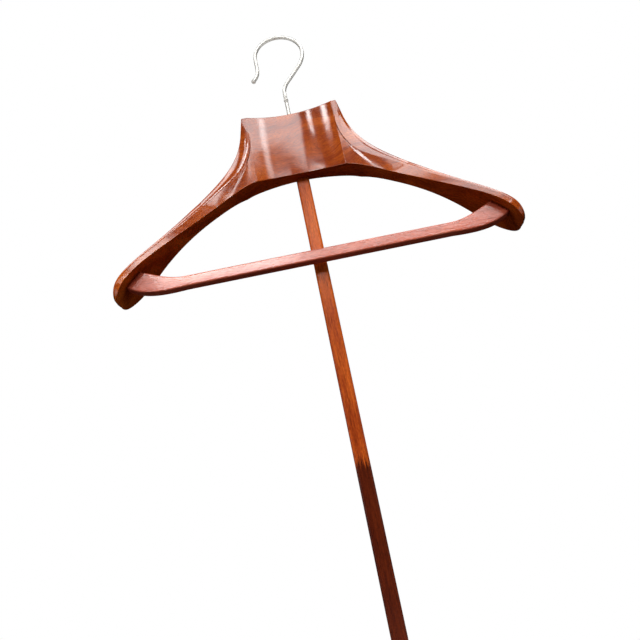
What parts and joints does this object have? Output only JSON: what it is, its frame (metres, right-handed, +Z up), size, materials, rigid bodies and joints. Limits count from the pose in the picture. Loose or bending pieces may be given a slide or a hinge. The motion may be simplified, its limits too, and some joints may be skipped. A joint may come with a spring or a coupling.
{
  "type": "clothes valet chair",
  "caption": "Clothes valet chair: a wide-shouldered wooden coat hanger with a trouser bar and a turning metal hook, on a square post behind a small wooden seat.",
  "frame": {"origin": "on the floor, under the middle of the whole object's box", "axes": "+X to the right as seen from the front, -Y towards the front, +Z up"},
  "size_m": [0.4352, 0.3683, 1.2037],
  "materials": {
    "lacquered_wood": "high gloss lacquer over mahogany stain",
    "bar_wood": "satin lacquer over mahogany stain",
    "post_wood": "gloss lacquer over mahogany stain",
    "chair_wood": "gloss lacquer over mahogany stain",
    "seat_wood": "gloss lacquer over mahogany stain",
    "bare_wood": "bare, unfinished",
    "hook_steel": "satin",
    "brass": "satin",
    "glide_plastic": "matte"
  },
  "bodies": {
    "frame": {"hanger_body": "lacquered_wood", "trouser_bar": "bar_wood", "bar_dowels": "bare_wood", "hook_bush": "brass", "post": "post_wood", "post_neck_screws": "brass", "post_base_screws": "brass", "front_apron": "chair_wood", "rear_apron": "chair_wood", "left_apron": "chair_wood", "right_apron": "chair_wood", "front_left_leg": "chair_wood", "front_right_leg": "chair_wood", "rear_left_leg": "chair_wood", "rear_right_leg": "chair_wood", "left_stretcher": "chair_wood", "right_stretcher": "chair_wood", "cross_stretcher": "chair_wood", "rear_stretcher": "chair_wood", "corner_blocks": "bare_wood", "corner_block_screws": "brass", "seat_panel": "seat_wood", "seat_screws": "brass", "foot_glides": "glide_plastic"},
    "hook": {"hook": "hook_steel"}
  },
  "joints": [
    {"name": "hook_swivel", "type": "hinge", "parent": "frame", "child": "hook", "pos_m": [0, 0.15715, 1.07], "axis": [0, 0, 1], "continuous": true}
  ]
}
